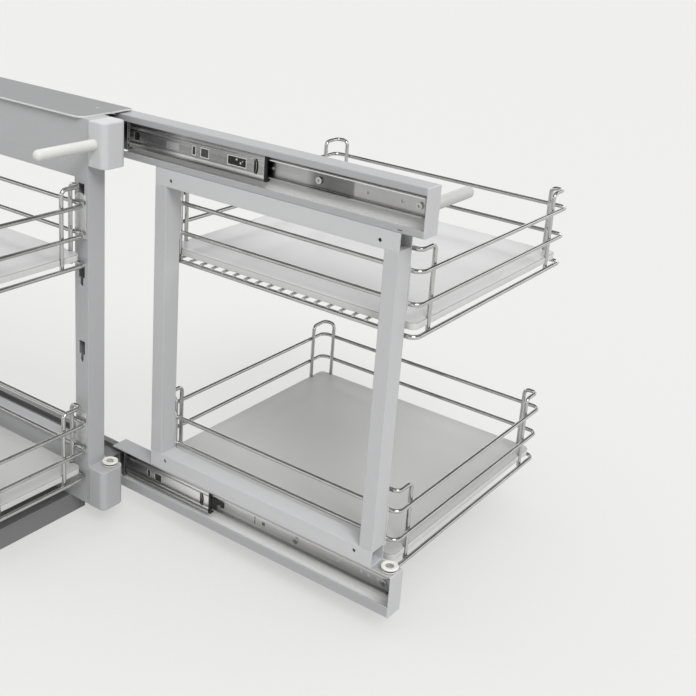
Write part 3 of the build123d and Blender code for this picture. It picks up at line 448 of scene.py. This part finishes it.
nylon = {"tone": (0.014, 0.014, 0.014), "pale": (0.09, 0.09, 0.09), "roughness": 0.42}
top_flecks = ((0.4345, 0.5745, 0.0035, 0.003), (0.4405, 0.5705, 0.003, 0.0035),
              (0.4445, 0.5735, 0.0025, 0.002))
bottom_flecks = ((0.2795, 0.0665, 0.003, 0.004), (0.3060, 0.0620, 0.004, 0.007))
dress(moulded("buffer_black", **nylon), "top_end_buffer", "bottom_end_buffer")
dress(moulded("top_latch_black", flecks=top_flecks, **nylon), "top_latch")
dress(moulded("bottom_latch_black", flecks=bottom_flecks, **nylon), "bottom_latch")

# Guide rods: steel rods in a pale plastic sleeve with a rounded end. One stands out from the
# front of the upper end block, the other from the back of the shelf's top rail.

sleeve = {"roughness": 0.34, "edge_highlight": 0.3}
dress(moulded("fixed_rod_white", (0.61, 0.61, 0.59), (0.70, 0.70, 0.68), **sleeve), "fixed_rod")
# Painted shade: the shelf's rod has the same sleeve as the fixed rod, given a darker tone.
dress(moulded("shelf_rod_painted_shade", (0.45, 0.45, 0.44), (0.58, 0.58, 0.57), **sleeve), "shelf_rod")

# Rollers: turned from off-white plastic, a full disc over a slightly smaller one, with a groove
# between them. The disc's rim is brightened by a painted highlight, and the groove is painted near
# black as painted shade. Each turns on a steel bolt whose head sits in a recess.

roller_white = moulded("roller_white", (0.66, 0.65, 0.61), (0.86, 0.85, 0.82), roughness=0.26,
                       edge_highlight=0.9)
# Painted shade for the groove's faces.
groove_painted_shade = moulded("roller_groove_painted_shade", (0.05, 0.05, 0.048), (0.10, 0.10, 0.095),
                      roughness=0.5)
roller_bore, roller_sides = 0.00255, 96
# How far in from the rim, and how far above the foot
lower_disc = [(0.0012, 0.0), (0.0006, 0.0003), (0.0004, 0.0008), (0.0004, 0.0014),
              (0.0010, 0.0018)]
roller_groove = [(0.0045, 0.0019), (0.0045, 0.0037)]
upper_disc = [(0.0008, 0.0038), (0.0001, 0.0041), (0.0, 0.0045)]
# How far in from the rim, and how far below the top
roller_rim = [(0.0, 0.0009), (0.0003, 0.0005), (0.0009, 0.0001), (0.0016, 0.0), (0.0024, 0.0002),
              (0.0032, 0.0005)]
# Radius, and how far below the top
roller_recess = [(0.0063, 0.0005), (0.0058, 0.0006), (0.0055, 0.0010), (0.0055, 0.0032),
                 (roller_bore, 0.0032)]


def add_object(name, data):
    """Puts a mesh, a lamp or a camera in the scene."""
    added = bpy.data.objects.new(name, data)
    bpy.context.scene.collection.objects.link(added)
    return added


def add_shape(name, shape, *materials):
    """Puts a shape in the scene with its materials."""
    mesh = bpy.data.meshes.new(name)
    shape.to_mesh(mesh)
    shape.free()
    for material in materials:
        mesh.materials.append(material)
    return add_object(name, mesh)


def turned_roller(node):
    """Turns one roller's profile about its bolt, in place of the plain CAD disc."""
    low, high = (Vector(corner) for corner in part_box(node))
    middle = (low + high) / 2
    outer = (high.x - low.x) / 2
    foot, top = low.z, high.z
    profile = [(roller_bore, foot)]
    profile += [(outer - inset, foot + rise)
                for inset, rise in lower_disc + roller_groove + upper_disc]
    profile += [(outer - inset, top - drop) for inset, drop in roller_rim]
    profile += [(radius, top - drop) for radius, drop in roller_recess]
    # The groove's faces get the second material, the painted shade.
    groove_steps = range(len(lower_disc), len(lower_disc + roller_groove) + 1)
    angles = [n * math.tau / roller_sides for n in range(roller_sides)]
    shape = bmesh.new()
    rings = [[shape.verts.new((middle.x + radius * math.cos(angle),
                               middle.y + radius * math.sin(angle), z)) for angle in angles]
             for radius, z in profile]
    for step, (lower, upper) in enumerate(zip(rings, rings[1:] + rings[:1])):
        for n in range(roller_sides):
            face = shape.faces.new((lower[n], lower[n - 1], upper[n - 1], upper[n]))
            face.smooth = True
            face.material_index = int(step in groove_steps)
    bmesh.ops.recalc_face_normals(shape, faces=shape.faces)
    piece = add_shape(node + "_turned", shape, roller_white, groove_painted_shade)
    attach(piece, node)
    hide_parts(node)


turned_roller("fixed_roller")
turned_roller("shelf_roller")

# Shelf: two folded channel rails with welded end plates, and a frame of box tube between them,
# powder coated a paler grey than the fixed frame. The shelf has one coat, painted in different
# greys as painted light and shade: the beams paler, the rails darker, and the end plates with a
# bright painted highlight along their edges. Inside the channel the rails' webs are painted paler
# as painted light, the gap at each end plate is painted near black as painted shade, and the top
# rail's lip has a slot near its end, painted dark as shade.

# The uprights, end plates and beams share one coat; the beams' paler grey is painted light.
dress(powder_coat("shelf_grey_coat", (0.51, 0.512, 0.52), (0.70, 0.705, 0.71)),
      "frame_uprights")
dress(powder_coat("end_plate_grey", (0.51, 0.512, 0.52), (0.92, 0.92, 0.92)), "rail_end_plates")
dress(powder_coat("shelf_beam_grey", (0.56, 0.562, 0.57), (0.72, 0.725, 0.73)), "frame_beams")

lip_back, behind_lip, behind_slide, sharp = 0.1722, 0.1732, 0.1955, 0.0004
rail_middle, rail_length, web_height = 0.478, 0.6, 0.0574
gap_middle, gap_length = 0.7188, 0.0152
gap_painted_shade = (0.03, 0.03, 0.03)
for rail, middle in (("shelf_top_rail", top_slide), ("shelf_bottom_rail", bottom_slide)):
    # Painted shade: the rails get a darker grey than the rest of the shelf.
    rail_coat = PowderCoat(rail + "_coat", (0.39, 0.392, 0.40))
    depth = rail_coat.coordinates()[1]
    # Painted light: the web inside the channel is given a paler grey.
    painted_light_web = rail_coat.patch(rail_middle, middle, rail_length, web_height, soft=0.0006)
    rail_coat.tint(depth.past(behind_lip, sharp) * painted_light_web, (0.80, 0.80, 0.79))
    # Painted shade: the gap at the end plate is given a near black.
    painted_shade_gap = rail_coat.patch(gap_middle, middle, gap_length, web_height, soft=sharp)
    rail_coat.tint(depth.past(behind_slide, sharp) * painted_shade_gap, gap_painted_shade)
    # Painted highlight along the rails' folds.
    rail_coat.paint_edge_highlight((0.68, 0.685, 0.69))
    if rail == "shelf_top_rail":
        # Painted shade: a dark slot in the lip.
        slot_painted_shade = rail_coat.patch(0.695, 0.5457, width=0.007, height=0.0018, soft=0.0005)
        rail_coat.tint(slot_painted_shade * depth.short_of(lip_back, sharp), gap_painted_shade)
    dress(rail_coat.cured(), rail)

# Wire baskets: round steel wire, bent, welded and chrome plated, with rails, corner loops and a
# floor of straight wires. Each crossing has a small run of weld under the plate, and zinc plated
# hook plates carry the baskets.


def chrome(name, dark, pale, roughness):
    """Bright chrome plate, very slightly uneven."""
    metal = Finish(name, Metallic=1.0)
    drift = metal.noise(35.0)
    fine = metal.noise(420.0, detail=2.0)
    metal.wire_up(Base_Color=metal.blend(drift, dark, pale), Roughness=roughness + drift * 0.06)
    metal.bump(fine * 0.4 + drift * 0.6, strength=0.1, distance=0.0002)
    return metal.material


wire_chrome = chrome("basket_chrome", (0.42, 0.42, 0.415), (0.62, 0.62, 0.605), roughness=0.04)
weld_chrome = chrome("weld_chrome", (0.34, 0.34, 0.33), (0.62, 0.62, 0.60), roughness=0.22)
for basket in ("front_upper", "front_lower", "shelf_upper", "shelf_lower"):
    dress(wire_chrome, basket + "_rails", basket + "_corners", basket + "_floor")
dress(steel("hook_zinc", (0.66, 0.66, 0.66), (0.86, 0.86, 0.85), roughness=0.36),
      "front_hook_plates", "shelf_hook_plates")

rail_count, rail_pitch, half_wire = 3, 0.042, 0.0030
floor_pitch, floor_margin = 0.0195, 0.052
leg_x, leg_y, leg_sunk, beside_leg = 0.025, 0.038, 0.0029, 0.0022
bead_radius, bead_width, bead_height = 0.0014, 0.8, 0.75
unevenness, ripple_along, ripple_up = 0.18, 5200, 4100
narrow_corners = ((-0.250, -0.08975), (0.250, 0.10025))
deep_corners = ((0.294, 0.20375), (0.710, 0.60775))


def weld_beads(name, body, corners, z):
    """Small uneven beads where the loops' legs and the floor wires cross the rails."""
    (x0, y0), (x1, y1) = corners
    spots = []
    for level in range(rail_count):
        height = z + level * rail_pitch
        for x, dx in ((x0, 1), (x1, -1)):
            for y, dy in ((y0, 1), (y1, -1)):
                for side in (-1, 1):
                    off = side * beside_leg
                    spots.append((x + dx * leg_x + off, y + dy * leg_sunk, height))
                    spots.append((x + dx * leg_sunk, y + dy * leg_y + off, height))
    count = int((x1 - x0 - floor_margin) / floor_pitch) + 1
    for n in range(count):
        x = (x0 + x1) / 2 + (n - (count - 1) / 2) * floor_pitch
        for y in (y0, y1):
            spots += [(x + side * bead_radius, y, z + half_wire) for side in (-1, 1)]
    shape = bmesh.new()
    for n, spot in enumerate(spots):
        bead = bmesh.ops.create_icosphere(shape, subdivisions=2, radius=bead_radius)["verts"]
        for vert in bead:
            along, across, up = vert.co
            ripple = math.sin(along * ripple_along + n) * math.cos(up * ripple_up + 2 * n)
            swell = 1 + unevenness * ripple
            vert.co = Vector(spot) + Vector((along * swell, across * bead_width * swell,
                                             up * bead_height))
    for face in shape.faces:
        face.smooth = True
    piece = add_shape(name, shape, weld_chrome)
    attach(piece, body)


for side, body, corners in (("front", "fixed_unit", narrow_corners),
                            ("shelf", "shelf", deep_corners)):
    for level, z in (("upper", 0.405), ("lower", 0.081)):
        weld_beads(f"{side}_{level}_welds", body, corners, z)

# Boards: thin chipboard with a satin melamine face and a pressed-on edge band, lying on the
# floor wires and notched round the corner loops' legs.


def melamine(name, face):
    """Melamine face with a faint print, a paler edge band and a darker seam between them."""
    band, seam = (0.64, 0.64, 0.63), (0.36, 0.36, 0.355)
    board = Finish(name, Specular_IOR_Level=0.45, Coat_Weight=0.25, Coat_Roughness=0.16)
    cloud = board.noise(9.0, detail=4.0)
    print_grain = board.noise(260.0, detail=2.0, rough=0.6, x=0.25)
    up = board.facing_up()
    shade = board.blend(cloud * 0.7 + print_grain * 0.3, [tone * 0.96 for tone in face],
                        [tone * 1.05 for tone in face])
    edge = board.blend(abs(up).short_of(0.55, soft=0.3), seam, band)
    board.wire_up(Base_Color=board.blend(up.past(0.93, soft=0.06), edge, shade),
                  Roughness=cloud * 0.1 + 0.3)
    board.bump(print_grain, strength=0.06, distance=0.00004)
    return board.material


dress(melamine("upper_board", (0.50, 0.502, 0.50)), "front_upper_board", "shelf_upper_board")
# Painted light: the lower boards are the same melamine, given a paler face to make up for the shade
# of the baskets above them.
dress(melamine("lower_board", (0.54, 0.54, 0.532)), "front_lower_board", "shelf_lower_board")

# Studio: a pale floor and a pale sky with one soft sun. Shiny surfaces mirror the pale floor and
# the backdrop, with a bright band between two dark ones above them, and the floor keeps the
# object's shadow.


def ray(nodes, kind):
    """1 for light rays of this kind."""
    return nodes.node("ShaderNodeLightPath", output=f"Is {kind} Ray")


floor_reach, floor_drop, floor_glow = 14.0, 0.0005, 0.55
ground = Finish("floor_pale", Roughness=0.9)
speckle = ground.noise(160.0, detail=2.0)
ground.wire_up(Base_Color=ground.blend(speckle, (0.60, 0.60, 0.595), (0.64, 0.64, 0.635)))
seen = (ray(ground, "Camera") + ray(ground, "Glossy") + ray(ground, "Transmission")).clamped()
glow = ground.node("ShaderNodeEmission", None,
                   {"Color": (0.90, 0.90, 0.89, 1), "Strength": 1.0})[0]
lit = Socket(ground, ground.shader.outputs[0])
surface = ground.node("ShaderNodeMixShader", None, {0: seen * floor_glow, 1: lit, 2: glow})[0]
ground.tree.links.new(surface.socket, ground.tree.nodes["Material Output"].inputs[0])

shape = bmesh.new()
bmesh.ops.create_grid(shape, x_segments=1, y_segments=1, size=floor_reach)
floor = add_shape("floor", shape, ground.material)
floor.location.z = -floor_drop

world = bpy.data.worlds.new("sky")
bpy.context.scene.world = world
world.use_nodes = True
sky = Nodes(world.node_tree)
direction = sky.node("ShaderNodeTexCoord", output="Generated")
height = sky.node("ShaderNodeSeparateXYZ", None, {0: direction}, "Z") * 0.5 + 0.5
mirrored_stops = ((0.0, 0.85), (0.512, 0.85), (0.525, 0.08), (0.575, 0.10), (0.60, 1.9),
                  (0.67, 1.9), (0.71, 0.12), (0.90, 0.14), (1.0, 0.7))
mirrored = sky.node("ShaderNodeValToRGB", {"stops": mirrored_stops}, {0: height}, "Color")
open_stops = ((0.0, 0.06), (0.5, 0.06), (1.0, 1.50))
open_sky = sky.node("ShaderNodeValToRGB", {"stops": open_stops}, {0: height}, "Color")
from_gloss = (ray(sky, "Glossy") + ray(sky, "Transmission")).clamped()
light = sky.blend(from_gloss, open_sky, mirrored)
light = sky.blend(ray(sky, "Camera"), light, (0.88, 0.88, 0.87))
world.node_tree.links.new(light.socket, world.node_tree.nodes["Background"].inputs[0])

lamp = bpy.data.lights.new("sun", "SUN")
lamp.energy = 1.5
lamp.angle = 0.45
towards_sun = Vector((0.58, -0.43, 0.70))
sun = add_object("sun", lamp)
sun.rotation_mode = "QUATERNION"
sun.rotation_quaternion = towards_sun.to_track_quat("Z", "Y")

# Camera: at the photograph's place, looking down at the open shelf's front end. Its turn and its
# focal length in pixels come from the straight edges in the photograph.

camera_at = (1.3259, -0.8705, 0.9245)
yaw, pitch, roll = math.radians(35.07), math.radians(-18.26), math.radians(3.92)
sensor, focal_pixels, picture_pixels = 36.0, 1112.2, 696.0

look = Vector((-math.sin(yaw) * math.cos(pitch), math.cos(yaw) * math.cos(pitch),
               math.sin(pitch)))
level = Vector((math.cos(yaw), math.sin(yaw), 0))
upright = level.cross(look)
right = math.cos(roll) * level + math.sin(roll) * upright
up = math.cos(roll) * upright - math.sin(roll) * level
lens = bpy.data.cameras.new("camera")
lens.sensor_width = sensor
lens.lens = sensor * focal_pixels / picture_pixels
lens.shift_x = 0.030
lens.shift_y = -0.150
camera = add_object("camera", lens)
turn = Matrix((right, up, -look)).transposed().to_4x4()
camera.matrix_world = Matrix.Translation(camera_at) @ turn
bpy.context.scene.camera = camera
bpy.context.scene.view_settings.view_transform = "Standard"
